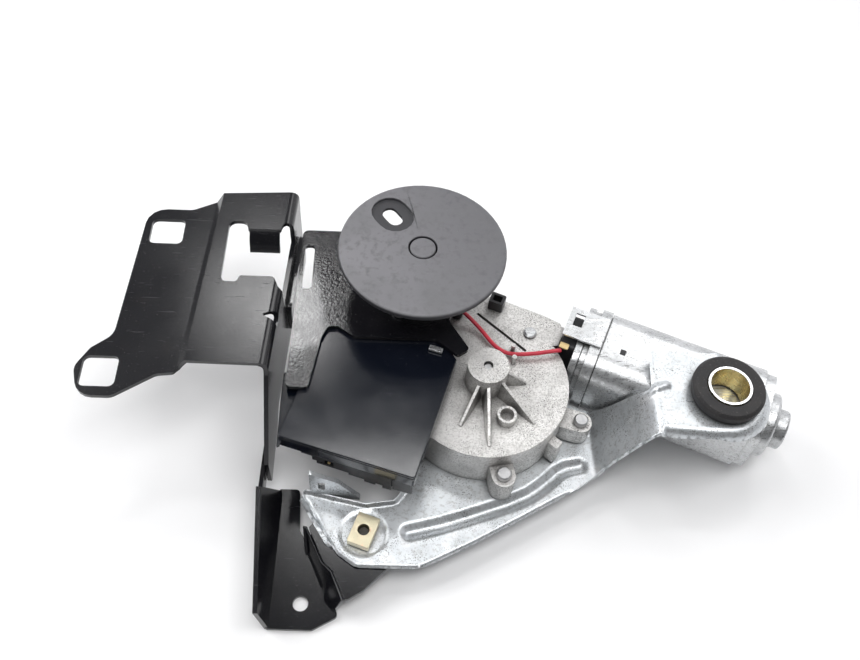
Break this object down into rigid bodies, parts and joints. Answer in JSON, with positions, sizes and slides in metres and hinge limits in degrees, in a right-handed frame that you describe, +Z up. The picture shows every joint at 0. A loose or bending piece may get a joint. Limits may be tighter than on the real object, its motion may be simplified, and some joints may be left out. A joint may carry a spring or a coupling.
{
  "type": "windshield wiper drive unit",
  "caption": "Rear wiper drive unit: bare motor and worm gearbox on a galvanised plate with black brackets, control unit, rubber mount and a coupling disc.",
  "frame": {"origin": "centre of the bounding box at the surface the unit lies on", "axes": "+Z up, along the coupling disc's axis; +X from the tab end towards the motor's end bell, along the longest extent; +Y away from the foot"},
  "size_m": [0.3202, 0.1866, 0.0795],
  "materials": {
    "black_paint": "satin black paint on steel sheet",
    "gloss_paint": "glossy black paint with orange peel",
    "galvanised": "dull zinc coat with dark speckles",
    "zinc": "bright zinc plate",
    "yellow_zinc": "yellow chromated zinc",
    "cast_alloy": "grey die cast, speckled",
    "steel": "turned steel",
    "brass": "plain brass",
    "copper": "copper",
    "rubber": "matte rubber",
    "disc_plastic": "dark grey moulded plastic, scuffed",
    "case_plastic": "glossy blue-black plastic",
    "dark_plastic": "black plastic",
    "gear_plastic": "natural white plastic",
    "wire_red": "red wire insulation",
    "board": "green circuit board",
    "ferrite": "dark ferrite",
    "carbon": "carbon"
  },
  "bodies": {
    "frame": {"bracket_screw_1": "steel", "bracket_screw_2": "steel", "bracket_screw_3": "steel", "brush_card": "dark_plastic", "brush_left": "carbon", "brush_right": "carbon", "cable_clip": "zinc", "circuit_board": "board", "clamp_bolt": "steel", "clip_nut": "yellow_zinc", "connector_pin_1": "brass", "connector_pin_2": "brass", "connector_pin_3": "brass", "connector_pin_4": "brass", "connector_pin_5": "brass", "connector_pin_6": "brass", "connector_shroud": "dark_plastic", "control_unit_case": "case_plastic", "control_unit_lid": "case_plastic", "deck_rivet": "zinc", "end_bell": "zinc", "flux_ring": "zinc", "foot_bracket": "black_paint", "gearbox_cover": "galvanised", "gearbox_housing": "cast_alloy", "grommet": "rubber", "grommet_sleeve": "yellow_zinc", "inner_bracket": "gloss_paint", "loop_clip": "dark_plastic", "lug_screw_1": "steel", "lug_screw_2": "steel", "magnet_left": "ferrite", "magnet_right": "ferrite", "motor_can": "zinc", "motor_flange": "zinc", "motor_strap": "zinc", "mounting_plate": "galvanised", "output_bush": "brass", "red_wire": "wire_red", "relay": "dark_plastic", "side_bracket": "black_paint", "solder_lug": "brass", "terminal_frame": "zinc", "wheel_axle": "steel", "wire_bush": "rubber", "worm_bush": "brass"},
    "output": {"coupling_disc": "disc_plastic", "disc_cap": "disc_plastic", "output_shaft": "steel", "output_gear": "steel", "shaft_clip": "steel"},
    "wheel": {"worm_wheel": "gear_plastic", "drive_gear": "steel"},
    "armature": {"worm_shaft": "steel", "armature_core": "ferrite", "winding_front": "copper", "winding_rear": "copper", "commutator": "copper"}
  },
  "joints": [
    {"name": "armature_spin", "type": "hinge", "parent": "frame", "child": "armature", "pos_m": [0.03145, 0.04849, 0.026], "axis": [0.9217, -0.388, 0], "range_deg": [0, 3530.17]},
    {"name": "wheel_turn", "type": "hinge", "parent": "frame", "child": "wheel", "pos_m": [0.01548, 0.01054, 0], "axis": [0, 0, 1], "range_deg": [-0.5, 65.17]},
    {"name": "output_swing", "type": "hinge", "parent": "frame", "child": "output", "pos_m": [-0.0154, 0.0553, 0], "axis": [0, 0, 1], "range_deg": [-105.5, 0.5]}
  ],
  "couplings": [
    {"joint": "wheel_turn", "follows": "armature_spin", "ratio": 0.018182},
    {"joint": "output_swing", "follows": "armature_spin", "ratio": -0.029752}
  ]
}
